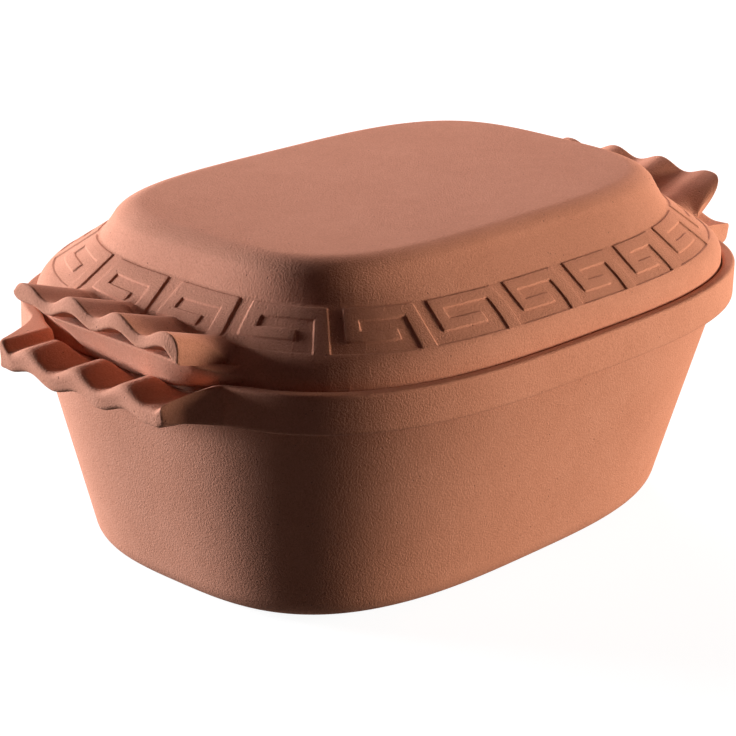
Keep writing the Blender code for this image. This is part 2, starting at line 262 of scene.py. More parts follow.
def rounded(chain):
    """Rings of a chain of corners. Each is a ring, its radius, and how many rings go round and after it."""
    rings = [chain[0][0]]
    for before, here, after in zip(chain, chain[1:], chain[2:] + [None]):
        ring, radius, turns = here[:3]
        start = toward(ring, before[0], radius) if after and turns else ring
        last = rings[-1]
        rings += [mix(last, start, step / (before[3] + 1)) for step in range(1, before[3] + 2)]
        if after and turns:
            end = toward(ring, after[0], radius)
            for t in np.linspace(0.0, 1.0, turns + 1)[1:]:
                rings.append((1 - t) ** 2 * start + 2 * t * (1 - t) * ring + t * t * end)
    return rings


def arc(at, inset, height, radius, squareness, angles, rise=1):
    """Rings round a level flat whose edge is at an inset. They bend up with rise 1, and down with rise -1."""
    return [at.ring(inset - radius * math.sin(angle), height + rise * radius * (1 - math.cos(angle)),
                    squareness) for angle in angles]


def flat(ring, shares):
    """Rings drawn in towards the middle of a flat."""
    return [ring * [share, share, 1.0] for share in shares]


# %% [markdown]
# Beside a narrow step the faces are long on one side and short on the other. A normal that is the plain mean
# of its faces would smear the step's shade over the flat beside it. So each normal is weighted by the area of
# its faces.


# %% Skin a chain of rings
def skin(name, rings):
    """A closed mesh over the rings, shut at both ends by a fan round a middle point."""
    count = len(rings[0])
    points = np.concatenate(rings + [rings[0].mean(0)[None], rings[-1].mean(0)[None]])
    points[:, 0] += BODY_SHIFT
    first = np.arange(count)
    after = np.roll(first, -1)
    low = (np.arange(len(rings) - 1) * count)[:, None]
    quads = np.stack([low + first, low + after, low + count + after, low + count + first], axis=2)
    quads = quads.reshape(-1, 4)
    last = count * (len(rings) - 1)
    fans = [(int(b), int(a), last + count) for a, b in zip(first, after)]
    fans += [(int(a) + last, int(b) + last, last + count + 1) for a, b in zip(first, after)]
    mesh = bpy.data.meshes.new(name)
    mesh.from_pydata(points.tolist(), [], quads.tolist() + fans)
    mesh.shade_smooth()
    corners = points[quads]
    crosses = np.cross(corners[:, 2] - corners[:, 0], corners[:, 3] - corners[:, 1])
    normals = np.zeros_like(points)
    for corner in range(4):
        np.add.at(normals, quads[:, corner], crosses)
    normals[-2:] = (0.0, 0.0, -1.0), (0.0, 0.0, 1.0)
    mesh.normals_split_custom_set_from_vertices(normals / np.linalg.norm(normals, axis=1)[:, None])
    piece = bpy.data.objects.new(name, mesh)
    bpy.context.scene.collection.objects.link(piece)
    print(f"{name}: {count} stations, {len(rings)} rings, {len(mesh.polygons)} faces")
    return piece


# %% [markdown]
# ## Where the stations stand
# A mesh needs its points where the shape changes. Along the sides the stations may stand 3 mm apart, over the
# flutes they are closer, and at the handles' ends, where a wall stands square to the outline, they are
# closest.

# %% Spacing of the stations
SIDE_GAP, FLUTE_GAP, WALL_GAP = 0.0030, 0.0016, 0.0006
WALL_ZONE = 0.0050          # either side of a handle's end
GAP_CHANGE = 0.0250         # how long the gaps take to widen past it


def gap_at(across):
    """The widest gap that is wanted between stations, from the distance to a handle's middle."""
    beyond = np.abs(across) - HANDLE_HALF_WIDTH
    outside = mix(WALL_GAP, SIDE_GAP, smooth((beyond - WALL_ZONE) / GAP_CHANGE))
    return np.where(beyond < -WALL_ZONE, FLUTE_GAP, outside)


def spread(along, across, marks):
    """Places along an outline: the marks, and between them enough others to keep to the wanted gaps."""
    crowd = np.concatenate([[0.0], np.cumsum(np.diff(along) / gap_at((across[1:] + across[:-1]) / 2))])
    levels = np.interp(marks, along, crowd)
    places = [np.linspace(start, stop, max(1, math.ceil(stop - start)), endpoint=False)
              for start, stop in zip(levels, levels[1:])]
    return np.interp(np.concatenate(places), crowd, along)


# %% [markdown]
# ## The dish
# The real dish was pressed in a mould, so its wall has one thickness and flares from a rounded foot up to a
# proud band round the rim. At both ends the band is drawn out into a handle with wavy flutes. One section,
# swept round the stations, gives all of it: at the ends the rings of the band are pulled outward.

# %% Dish stations
OUTLINE_POINTS = 20001
fine = np.linspace(-math.pi, math.pi, OUTLINE_POINTS)
rim_x, rim_y = oval(fine, RIM_HALF_LENGTH, RIM_HALF_WIDTH, RIM_SQUARENESS)
rim_along = running_length(rim_x, rim_y)
rim_across = rim_y - np.where(rim_x > 0, RIGHT_HANDLE_SHIFT, 0.0)
dish_angles = np.interp(spread(rim_along, rim_across, (0.0, rim_along[-1])), rim_along, fine)
dish_starts = np.stack(oval(dish_angles, RIM_HALF_LENGTH, RIM_HALF_WIDTH, RIM_SQUARENESS), axis=1)
dish_ways = np.stack([np.cos(dish_angles), np.sin(dish_angles)], axis=1)
dish_lines = Stations(dish_starts, dish_ways, flute_shift=DISH_FLUTE_SHIFT)
print("dish stations:", len(dish_angles))

# %% [markdown]
# The handles end differently. At a near end the edge turns back to the rim within a centimetre, and at a far
# end it is drawn out into the rim over a longer stretch. So each shape of the handle has its own pair of
# places, measured past the handle's end: where it starts to give way to the plain rim, and where it has gone.

# %% Ends of the dish's handles
EDGE_NEAR, EDGE_FAR = (0.0010, 0.0080, 2.1), (-0.0012, 0.0200, 2.4)     # with the power of the sweep
LOW_EDGE_NEAR, LOW_EDGE_FAR = (0.0003, 0.0080), (-0.0005, 0.0145)
FLUTES_NEAR_LEFT, FLUTES_NEAR_RIGHT = (-0.0040, 0.0055), (0.0005, 0.0090)
FLUTES_FAR = (-0.0090, -0.0025)
POCKET_ENDS = (-0.0200, 0.0190)
UNDER_FOLLOWS = (0.8, 0.1)              # how far the underside goes with the top, at near and far ends
RIM_ROUND, GRIP_ROUND, GRIP_ENDS = 0.0018, 0.0034, (-0.0060, 0.0060)
RIDGE_ROUND, RIDGE_ENDS = 0.0016, (-0.0120, -0.0020)


def dish_edge(at):
    """Height of the rim and the handles' edge, height of their underside, and the radii of the edge."""
    fluted = at.wave(**DISH_FLUTES)
    near = at.at_end((at.fade(*FLUTES_NEAR_LEFT), at.fade(*FLUTES_NEAR_RIGHT)))
    top = mix(RIM_HEIGHT, fluted, at.by_end(near, at.fade(*FLUTES_FAR)))
    under = at.wave(**DISH_UNDER) + at.by_end(*UNDER_FOLLOWS) * (top - fluted)
    crest = np.cos(2 * math.pi * at.flute / FLUTE_PITCH)
    inner_round = mix(RIM_ROUND, GRIP_ROUND, at.fade(*GRIP_ENDS))
    outer_round = inner_round + RIDGE_ROUND * (1.0 + crest) * at.fade(*RIDGE_ENDS)
    pocket_reach = POCKET_REACH - POCKET_SLANT * at.across - POCKET_SCALLOP * (1.0 - crest)
    return top, under, inner_round, outer_round, pocket_reach


# %% Dish section
CAP_SHARES = np.array([0.05, 0.35, 0.65, 0.88, 0.97])
FOOT_RINGS, FLOOR_RINGS = 12, 9
BAND_CORNER, LIP_CORNER, POCKET_CORNER, LEDGE_CORNER = 0.0020, 0.0024, 0.0010, 0.0015
POCKET_LEAN = 0.0006


def dish_rings(at):
    """From the middle underneath, up the outside, over the rim, and down to the middle of the floor."""
    lean = (FOOT_INSET - BAND_STEP) / (BAND_BASE - FOOT_RADIUS)
    wall_turn = math.pi / 2 - math.atan(lean)
    foot = arc(at, FOOT_INSET + FOOT_RADIUS, 0.0, FOOT_RADIUS, FOOT_SQUARENESS,
               np.linspace(0.0, wall_turn, FOOT_RINGS))
    floor = arc(at, FOOT_INSET + WALL_THICKNESS + INNER_RADIUS, FLOOR_THICKNESS, INNER_RADIUS,
                FOOT_SQUARENESS, np.linspace(wall_turn, 0.0, FLOOR_RINGS))
    top, under, inner_round, outer_round, pocket_reach = dish_edge(at)
    reach, pocket = at.at_end(DISH_REACH), at.fade(*POCKET_ENDS)
    edge_share = at.by_end(at.sweep(*EDGE_NEAR), at.sweep(*EDGE_FAR))
    low_share = at.by_end(at.fade(*LOW_EDGE_NEAR), at.fade(*LOW_EDGE_FAR))
    rim_inner = at.pull(at.ring(RIM_WALL, RIM_HEIGHT), pocket_reach, top, pocket)
    rim_inner[:, 2] = top
    ledge = at.pull(at.ring(RIM_WALL, LEDGE), pocket_reach - POCKET_LEAN, LEDGE, pocket)
    inside_top = at.ring(BAND_STEP + WALL_THICKNESS - lean * (LEDGE - BAND_BASE), LEDGE, WALL_SQUARENESS)
    chain = [
        (foot[-1], 0.0, 0, 12),
        (at.ring(BAND_STEP, BAND_BASE, WALL_SQUARENESS), BAND_CORNER, 3, 6),
        (at.pull(at.ring(0.0, BAND_BASE), reach - LIP_LEAN, under, low_share), LIP_CORNER, 5, 4),
        (at.pull(at.ring(0.0, RIM_HEIGHT), reach, top, edge_share), outer_round, 6, 8),
        (rim_inner, inner_round, 4, 3),
        (ledge, POCKET_CORNER, 2, 3),
        (inside_top, LEDGE_CORNER, 3, 10),
        (floor[0], 0.0, 0, 0),
    ]
    outside = flat(foot[0], CAP_SHARES) + foot[:-1]
    return outside + rounded(chain) + floor[1:] + flat(floor[-1], CAP_SHARES[::-1])


dish = skin("clay_dish", dish_rings(dish_lines))

# %% [markdown]
# ## The key pattern
# Round the lid's sloping band runs a Greek key. It is one unbroken step between two levels: every unit is a
# hook that stands proud, and a low path winds round it. The hook rises from the plain clay below as a right
# bar, turns left into a top bar, down a left bar, and ends in a tongue that points right. On the real lid the
# pattern was cut into the mould. A bump in the material would look flat from the side, so here it is carved
# into the mesh itself: stations and rings are placed on both sides of every step.

# %% Sizes of the key pattern
# Middles of the low strips between the units, along the band's middle line from the left end's middle. The
# mould was cut by hand, so every unit on the near side has its own bars, and its own lift up the band. A lean
# is how far an upright edge moves over the band's height, and a bow is how far it bulges. All are in metres.
NEAR_STRIPS = np.array([0.0, 45.0, 91.8, 136.5, 184.2, 227.4, 267.2, 307.1, 351.8, 392.9, 434.0]) / 1000
STRIP = 0.0069
LEFT_BARS = np.array([7.2, 7.3, 7.1, 6.7, 5.8, 7.3, 7.5, 7.7, 7.2, 7.2]) / 1000
RIGHT_BARS = np.array([7.2, 6.8, 7.4, 8.0, 8.4, 7.2, 8.2, 7.4, 7.2, 7.2]) / 1000
TONGUE_GAPS = np.array([7.0, 7.6, 6.4, 7.6, 6.4, 6.0, 5.0, 5.6, 6.1, 6.1]) / 1000
LIFTS = np.array([-1.4, 0.9, 0.1, 0.9, 0.0, -0.8, -0.8, 0.1, 0.0, 0.0]) / 1000
RIGHT_LEANS = np.array([-1.6, -0.6, -0.5, 0.0, 0.0, 0.0, 0.2, 0.0, 0.0, 0.0]) / 1000
RIGHT_BOWS = np.array([0.0, 0.0, 0.0, 1.5, 1.7, 1.2, 0.7, 0.4, 0.0, 0.0]) / 1000
LEFT_LEANS = np.array([0.0, -1.1, 0.35, -0.1, 0.15, 0.0, 0.5, 0.1, 0.0, 0.0]) / 1000
STEP_BOTTOM, TONGUE_BOTTOM, TONGUE_TOP, TOP_BAR_BOTTOM = -0.0115, -0.0054, 0.0003, 0.0062
TOP_BAR_TOP = (0.0122, 0.0134)          # along the sides and at the ends
STEP_DEPTH = 0.0007
STEP_RUN = 0.0010                       # how far a step takes to rise
CORNER_ROUND = 0.0011

# %% Lines square to the middle of the band
band_middle = tuple(inset - BAND_WIDTH / 2 for inset in BAND_TOP_INSETS)
band_x, band_y = oval(fine, RIM_HALF_LENGTH - band_middle[0], RIM_HALF_WIDTH - band_middle[1],
                      BAND_SQUARENESS)
band_along = running_length(band_x, band_y)
around = band_along[-1]
band_ways = np.stack([np.gradient(band_y, band_along), -np.gradient(band_x, band_along)], axis=1)
fine_lines = Stations(np.stack([band_x, band_y], axis=1), band_ways, LID_STRETCH)
strips = np.concatenate([NEAR_STRIPS, around - NEAR_STRIPS[::-1]])
print("band length in mm:", round(1000 * around, 1), "units:", len(strips) - 1)


# %% Units of the pattern
def round_the_band(near):
    """One value for every unit: the near side's as measured, and the same again on the far side."""
    return np.concatenate([near, near[:1], near[::-1]])


unit_starts, unit_ends = strips[:-1] + STRIP / 2, strips[1:] - STRIP / 2
left_bars, right_bars = round_the_band(LEFT_BARS), round_the_band(RIGHT_BARS)
tongue_ends = unit_ends - right_bars - round_the_band(TONGUE_GAPS)
steps_along = np.concatenate([unit_starts, unit_starts + left_bars, tongue_ends, unit_ends - right_bars,
                              unit_ends])

# %% Lid stations
SIDES_OF_STEP = np.array([-0.55, -0.18, 0.18, 0.55]) * STEP_RUN


def end_width(at):
    """From the last ridge or trough of a lid handle to its foot."""
    return HANDLE_END + at.by_end(at.at_end(LID_NEAR_EXTRA), at.at_end(LID_FAR_EXTRA))


def foot_place(side, hand):
    """Where the foot of one end of a lid handle stands, as a place along the band's middle."""
    corner = (fine_lines.side == side) & (np.sign(fine_lines.across) == hand)
    beyond = (np.abs(fine_lines.across) - HANDLE_RUN - end_width(fine_lines))[corner]
    order = np.argsort(beyond)
    return np.interp(0.0, beyond[order], band_along[corner][order])


def lines_at(places):
    """Lines square to the band's middle at the given places."""
    places = places % around
    x, y, way_x, way_y = (np.interp(places, band_along, values) for values in (band_x, band_y, *band_ways.T))
    ways = np.stack([way_x, way_y], axis=1) / np.hypot(way_x, way_y)[:, None]
    return Stations(np.stack([x, y], axis=1), ways, LID_STRETCH)


feet = [foot_place(side, hand) for side in (-1, 1) for hand in (-1, 1)]
marks = np.sort(np.concatenate([[0.0, around], feet, (steps_along[:, None] + SIDES_OF_STEP).ravel()]))
lid_places = spread(band_along, fine_lines.across, marks)
lid_lines = lines_at(lid_places)
lid_unit = np.clip(np.searchsorted(strips, lid_places, side="right") - 1, 0, len(strips) - 2)
print("lid stations:", len(lid_places))


# %% Height of the pattern
def box_distance(place, height, left, right, low, high):
    """Distance outside a rectangle with rounded corners. It is below 0 inside."""
    across = np.abs(place - (left + right) / 2) - (right - left) / 2 + CORNER_ROUND
    along = np.abs(height - (low + high) / 2) - (high - low) / 2 + CORNER_ROUND
    outside = np.hypot(np.maximum(across, 0.0), np.maximum(along, 0.0))
    return outside + np.minimum(np.maximum(across, along), 0.0) - CORNER_ROUND


def proud(place, unit, height):
    """1 where the clay stands proud and 0 in the low path, for every station and one height up the band."""
    left, right, right_bar = unit_starts[unit], unit_ends[unit], right_bars[unit]
    distances = [
        box_distance(place, height, right - right_bar, right, 2 * STEP_BOTTOM, TOP_BAR_TOP[1]),
        box_distance(place, height, left, right, TOP_BAR_BOTTOM, TOP_BAR_TOP[1]),
        box_distance(place, height, left, left + left_bars[unit], TONGUE_BOTTOM, TOP_BAR_TOP[1]),
        box_distance(place, height, left, tongue_ends[unit], TONGUE_BOTTOM, TONGUE_TOP),
        np.full(len(place), height - STEP_BOTTOM),
    ]
    return smooth(0.5 - np.min(distances, axis=0) / STEP_RUN)


# %% [markdown]
# The real bars aren't ruled. Some upright edges lean or bow, and some units sit a little higher or lower on
# the band. So at each height the stations near such an edge are moved along the band with it, and the whole
# pattern is lifted smoothly from the middle of one unit to the next.

# %% Hand-cut edges
EDGE_REACH = 0.0045         # how far round an edge the stations lean with it


def near_edge(place, edge):
    return 1.0 - smooth((np.abs(place - edge) - EDGE_REACH / 3) / (EDGE_REACH * 2 / 3))


def leaned(place, unit, height):
    """Places of the stations at one height up the band, moved where an upright edge leans or bows."""
    up = height / TOP_BAR_TOP[1]
    right_edge = round_the_band(RIGHT_LEANS)[unit] * up + round_the_band(RIGHT_BOWS)[unit] * (0.5 - up * up)
    right_share = np.maximum(near_edge(place, unit_ends[unit]),
                             near_edge(place, unit_ends[unit] - right_bars[unit]))
    left_edge = round_the_band(LEFT_LEANS)[unit] * up
    return place + right_share * right_edge + near_edge(place, unit_starts[unit]) * left_edge


def lift(place):
    """How far the pattern is lifted up the band."""
    middles = (unit_starts + unit_ends) / 2
    return np.interp(place, middles, round_the_band(LIFTS))


# %% [markdown]
# ## The lid
# The lid is a shallow dome: a skirt that drops inside the dish's rim, a rounded shoulder, the sloping band
# with the pattern, a soft crease, and a broad flat top. Its handles are wavy sheets that stand out over the
# shoulder at the ends, and a plain shelf runs below each of them. All of this is one section again, from the
# ceiling inside, round the skirt's foot, and up the outside. The handle's rings lie folded on the shoulder
# all the way round, and at the ends they are drawn out into the sheet.

# %% Band and shoulder
BAND_SLOPE = math.atan2(BAND_TOP_HEIGHT - BAND_LOW_HEIGHT, BAND_WIDTH)
HALF_BAND = BAND_WIDTH / 2 / math.cos(BAND_SLOPE)


def band_ring(at, up_band, sunk=0.0):
    """A ring of the band at a slant distance above its middle line, sunk square to the band's face."""
    out = -up_band * math.cos(BAND_SLOPE) - sunk * math.sin(BAND_SLOPE)
    middle = (BAND_LOW_HEIGHT + BAND_TOP_HEIGHT) / 2
    height = middle + up_band * math.sin(BAND_SLOPE) - sunk * math.cos(BAND_SLOPE)
    return stack(*(at.starts + at.ways * np.reshape(out, (-1, 1))).T, height)


def shoulder(at, share):
    """Between the band and the upright skirt, a share of the way down the rounded shoulder."""
    turn = mix(BAND_SLOPE, math.pi / 2, share)
    out = (math.sin(turn) - math.sin(BAND_SLOPE)) / (1 - math.sin(BAND_SLOPE))
    down = 1 - math.cos(turn) / math.cos(BAND_SLOPE)
    start, end = band_ring(at, -HALF_BAND), at.ring(SKIRT_INSET, SKIRT_TOP)
    return mix(start, end, np.array([out, out, down]))


print("slope of the band in degrees:", round(math.degrees(BAND_SLOPE), 1))

# %% Inside of the lid
CEILING_RINGS, CEILING_CORNER, SKIRT_CORNER = 5, 0.0040, 0.0018


def lid_inside(at):
    """From the middle of the ceiling down to the skirt's foot."""
    back, under = LID_THICKNESS * math.sin(BAND_SLOPE), LID_THICKNESS * math.cos(BAND_SLOPE)
    skirt_inside = SKIRT_INSET + SKIRT_THICKNESS
    ceiling = arc(at, TOP_INSET, TOP - LID_THICKNESS, TOP_ROUND - LID_THICKNESS, TOP_SQUARENESS,
                  np.linspace(0.0, TOP_ROUND_ANGLE, CEILING_RINGS), -1)
    high = tuple(inset + CREASE_WIDTH + back for inset in BAND_TOP_INSETS)
    low = tuple(max(inset - BAND_WIDTH + back, skirt_inside) for inset in BAND_TOP_INSETS)
    return flat(ceiling[0], CAP_SHARES) + ceiling[:-1], [
        (ceiling[-1], 0.0, 0, 2),
        (at.ring(high, BAND_TOP_HEIGHT - under, BAND_TOP_SQUARENESS), CEILING_CORNER, 3, 3),
        (at.ring(low, BAND_LOW_HEIGHT - under, BAND_LOW_SQUARENESS), CEILING_CORNER, 3, 2),
        (at.ring(skirt_inside, SKIRT_FOOT), SKIRT_CORNER, 3, 1),
        (at.ring(SKIRT_INSET, SKIRT_FOOT), SKIRT_CORNER, 3, 2),
    ]


# %% [markdown]
# The sheet of a handle has no upright wall at its ends. At the near end it curls over and down in one round
# side. At the left the outer corner of that side hangs over the shelf as a thin tip, and at the right it
# comes down to the shoulder. At the far ends the sheet stops in a round lobe. Such a side is a quarter of a
# superellipse. On it, evenly spaced stations would leave the steep part bare, so each ring's stations are
# slid along the outline to stand evenly round the curve. Inward runs from 0 at the sheet's edge to 1 at the
# band.

# %% Ends of the lid's handles
END_SQUARENESS = (2.7, 2.3)
END_SPREAD = 0.0085                     # how much further the foot stands at the band than at the edge
SLIDE_ENDS = (0.0040, 0.0240)           # where the slid stations are back in their places


def foot_spread(inward):
    return END_SPREAD * inward ** 3


def curled(at, inward):
    """How far the end of the sheet has curled: 0 over the flutes, 1 at its foot, and softly at the band."""
    past, power = at.past_run(end_width(at) + foot_spread(inward)), at.at_end(END_SQUARENESS)
    steep = 1.0 - (1.0 - past ** power) ** (1 / power)
    return mix(steep, smooth(past), inward ** 3)


def slid(at, spread_out, share):
    """The stations slid by a share of the way along the outline that stands them evenly round the curve."""
    past = at.past_run(end_width(at))
    even = (end_width(at) + spread_out) * np.sin(past * math.pi / 2) ** (2 / at.at_end(END_SQUARENESS))
    slide = np.where(past < 1.0, even - past * end_width(at), spread_out * at.fade(*SLIDE_ENDS))
    away = np.sign(np.gradient(np.abs(at.across)))
    return lines_at(lid_places + away * share * slide)


# %% [markdown]
# Below the sheet lies the ground that its ends come down to: the shelf's level top, and behind it the rounded
# shoulder. A place on the ground is counted in its rings, 0 on the shelf and 4 at the foot of the band.

# %% Ground beside the handles
SHELF_TOP_NEAR, SHELF_TOP_NEAR_RIGHT = (-0.0010, 0.0195), (-0.0100, 0.0050)
SHELF_TOP_FAR = (-0.0145, -0.0055)
SHELF_DOWN = 0.90                           # the shelf's edge, as a share down the shoulder
SHELF_BACK_SLOPE = 30                       # what that share loses for each metre back
GROUND_SHARES = (0.60, 0.40, 0.20, 0.0)     # the other rings of the ground
GROUND_ENDS = (0.0100, 0.0260)


def shelf_top(at, back=0.0):
    """The edge of the shelf's top, or a ring that far behind it. It sinks into the shoulder past a handle."""
    near = at.at_end((at.fade(*SHELF_TOP_NEAR), at.fade(*SHELF_TOP_NEAR_RIGHT)))
    share = at.by_end(near, at.fade(*SHELF_TOP_FAR))
    sunk = shoulder(at, SHELF_DOWN - SHELF_BACK_SLOPE * back)
    return at.pull(sunk, SHELF_REACH - back, SHELF_TOP, share)


def on_ground(at, reach, least, share):
    """Points straight below a reach beside a handle, and a share down the shoulder elsewhere.

    Least is the least place on the ground that they may take.
    """
    ground = np.stack([shelf_top(at, SHELF_FLAT)] + [shoulder(at, down) for down in GROUND_SHARES])
    outward = np.abs(ground[:, :, 0]) - RIM_HALF_LENGTH
    steps = np.arange(len(ground))
    places = np.array([np.interp(x, xs[::-1], steps[::-1]) for x, xs in zip(reach, outward.T)])
    places = np.maximum(places, least)
    low = np.clip(places.astype(int), 0, len(ground) - 2)
    station = np.arange(len(reach))
    below = mix(ground[low, station], ground[low + 1, station], (places - low)[:, None])
    return mix(shoulder(at, share), below, at.fade(*GROUND_ENDS)[:, None])


# %% Tips and lobes
TIP_RUN = 0.0012                        # how long a tip or lobe takes to join the ground
TIP_OUT, TIP_RISE = 0.95, 0.24          # for each metre that the sheet stands out over the shelf
LOBE_DROOP, DROOP_START, DROOP_RUN = 0.0016, 0.036, 0.010
HOLLOW_WIDTH, HOLLOW_POWER = 0.0066, 1.35   # the hollow under the sheet ends this far past the last trough


def end_of_sheet(at, reach, least, share, spread_out=0.0, inward=0.0):
    """Where a ring of the handle comes down.

    It is a tip at the near left, the ground at the near right, and a lobe at the far ends.
    """
    ground = on_ground(at, reach, least, share)
    beyond = np.abs(at.across) - HANDLE_RUN - end_width(at) - spread_out
    kept = 1.0 - smooth(beyond / TIP_RUN)
    over = np.maximum(reach - SHELF_REACH + SHELF_FLAT, 0.0)
    tip = at.pulled(SHELF_REACH - SHELF_FLAT + TIP_OUT * over, SHELF_TOP + TIP_RISE * over)
    middle = (at.wave(**LID_FLUTES) + at.wave(**LID_UNDER)) / 2 - LID_SLOPE * (at.at_end(LID_REACH) - reach)
    lobe = at.pulled(reach, middle - LOBE_DROOP)
    share = at.by_end(at.at_end((kept * (over > 0), 0.0)), kept * (1.0 - inward) ** 0.5)
    return mix(ground, np.where(at.across[:, None] < 0, tip, lobe), share[:, None])


def hollow_end(at):
    """0 under the flutes, and 1 where the hollow below the sheet has closed."""
    return at.by_end(at.past_run(HOLLOW_WIDTH) ** HOLLOW_POWER, curled(at, 0.0))


def sheet_under(at):
    """Height of the sheet's underside, which droops towards the lobes."""
    droop = at.by_end(0.0, LOBE_DROOP) * smooth((np.abs(at.across) - DROOP_START) / DROOP_RUN)
    return at.wave(**LID_UNDER) - droop


def lip_ring(at):
    """The lower edge of the sheet's rough outer face."""
    lip = at.at_end(LID_REACH) + LIP_LEAN
    foot = end_of_sheet(at, lip, least=0.10, share=0.70)
    return mix(at.pulled(lip, sheet_under(at)), foot, hollow_end(at)[:, None])


# %% Handles of the lid
SHEET_RINGS, SHEET_CROWDING = 9, 1.2    # rings over the sheet, closer together at its edge
FIRST_PLACE, NEXT_PLACE = 0.16, 0.14    # their least places on the ground: the first one's, and each step
EDGE_SHARE, BAND_SHARE = 0.62, 0.08     # how far down the shoulder they lie away from the handles
HOLLOW_CORNER, SHEET_CORNER, LIP_ROUND = 0.0020, 0.0020, 0.0018


def lid_handle(at):
    """Chain of the handle's rings, from the shelf round the sheet's edge and in to the band."""
    lip = at.at_end(LID_REACH) + LIP_LEAN
    hollow, under = hollow_end(at), sheet_under(at)
    deepest = lip + band_middle[0] - BAND_WIDTH / 2 - SHELF_MARGIN
    inmost = lip - np.clip((mix(under, SHELF_TOP, hollow) - SHELF_TOP) / LID_SLOPE, 0.0, deepest)
    floor_gone = np.maximum(hollow, 1.0 - at.by_end(1.0, at.fade(*SHELF_TOP_FAR)))

    def on_shelf(reach, least, share):
        return mix(at.pulled(reach, SHELF_TOP), on_ground(at, reach, least, share), floor_gone[:, None])

    chain = [
        (on_shelf(mix(inmost, SHELF_REACH, 0.5), least=0.02, share=0.80), 0.0, 0, 1),
        (on_shelf(inmost, least=0.06, share=0.76), HOLLOW_CORNER, 3, 3),
        (lip_ring(slid(at, 0.0, 1.0)), LIP_ROUND, 4, 2),
    ]
    for number, inward in enumerate(np.linspace(0.0, 1.0, SHEET_RINGS) ** SHEET_CROWDING):
        spread_out = foot_spread(inward)
        slid_at = slid(at, spread_out, 1.0 - inward ** 4)
        reach = slid_at.at_end(LID_REACH) - LID_HANDLE_DEPTH * inward
        above = slid_at.pulled(reach, slid_at.wave(**LID_FLUTES) - LID_SLOPE * LID_HANDLE_DEPTH * inward)
        below = end_of_sheet(slid_at, reach, FIRST_PLACE + NEXT_PLACE * number,
                             mix(EDGE_SHARE, BAND_SHARE, inward), spread_out, inward)
        ring = mix(above, below, curled(slid_at, inward)[:, None])
        chain.append((ring, 0.0, 0, 0) if number else (ring, SHEET_CORNER, 4, 0))
    return chain


# %% [markdown]
# The band has a ring on each side of every level step of the pattern, and a few plain ones between. The
# handle's ridges run up on to it and end there, so each ring takes the larger of two heights: the band's own,
# and the ridge's.

# %% Patterned band
STEP_LEVELS = np.array([STEP_BOTTOM, TONGUE_BOTTOM, TONGUE_TOP, TOP_BAR_BOTTOM, TOP_BAR_TOP[1]])
PLAIN_LEVELS = np.array([-0.0086, -0.0026, 0.0032, 0.0085, 0.0107, 0.0146])
BAND_LEVELS = np.sort(np.concatenate([(STEP_LEVELS[:, None] + SIDES_OF_STEP).ravel(), PLAIN_LEVELS]))
END_TURN = 1.5                          # how fast the top bar grows taller towards the ends
LIFT_LOSS, LIFT_LEVEL = 0.7, 0.006      # past this level a unit's lift fades by this share
RIDGE_SOFTNESS = 0.0030


def larger(a, b, softness):
    """The larger of two heights, with a soft valley where they cross."""
    share = np.clip(0.5 + 0.5 * (a - b) / softness, 0.0, 1.0)
    return mix(b, a, share) + softness * share * (1.0 - share)


def patterned_band(at):
    """Rings up the band, with the key pattern sunk into it and the handles' ridges on it."""
    handle = 1.0 - curled(at, 1.0)
    inner_edge = at.wave(**LID_FLUTES) - LID_SLOPE * LID_HANDLE_DEPTH
    inner_reach = RIM_HALF_LENGTH + at.at_end(LID_REACH) - LID_HANDLE_DEPTH
    top_step = mix(*TOP_BAR_TOP, smooth(END_TURN * np.abs(at.ways[:, 0])))
    stretch = (top_step - TOP_BAR_BOTTOM) / (TOP_BAR_TOP[1] - TOP_BAR_BOTTOM)
    lifted = lift(lid_places)
    rings = []
    for level in BAND_LEVELS:
        depth = STEP_DEPTH * (1.0 - proud(lid_places, lid_unit, level))
        up_band = level + max(level - TOP_BAR_BOTTOM, 0.0) * (stretch - 1.0)
        up_band = up_band + lifted * (1.0 - LIFT_LOSS * smooth((abs(level) - LIFT_LEVEL) / LIFT_LEVEL))
        ring = band_ring(lines_at(leaned(lid_places, lid_unit, level)), up_band, depth)
        ridge = inner_edge + LID_SLOPE * (np.abs(ring[:, 0]) - inner_reach)
        ring[:, 2] = mix(ring[:, 2], larger(ring[:, 2], ridge, RIDGE_SOFTNESS), handle)
        rings.append(ring)
    return rings


# %% Make the lid
SHELF_FOOT_NEAR, SHELF_FOOT_FAR = (-0.0200, 0.0190), (-0.0250, 0.0)
UNDER_SHELF_CORNER, SHELF_FOOT_CORNER, SHELF_TOP_CORNER = 0.0008, 0.0014, 0.0022
CREASE_ROUND, TOP_RINGS = 0.0060, 12


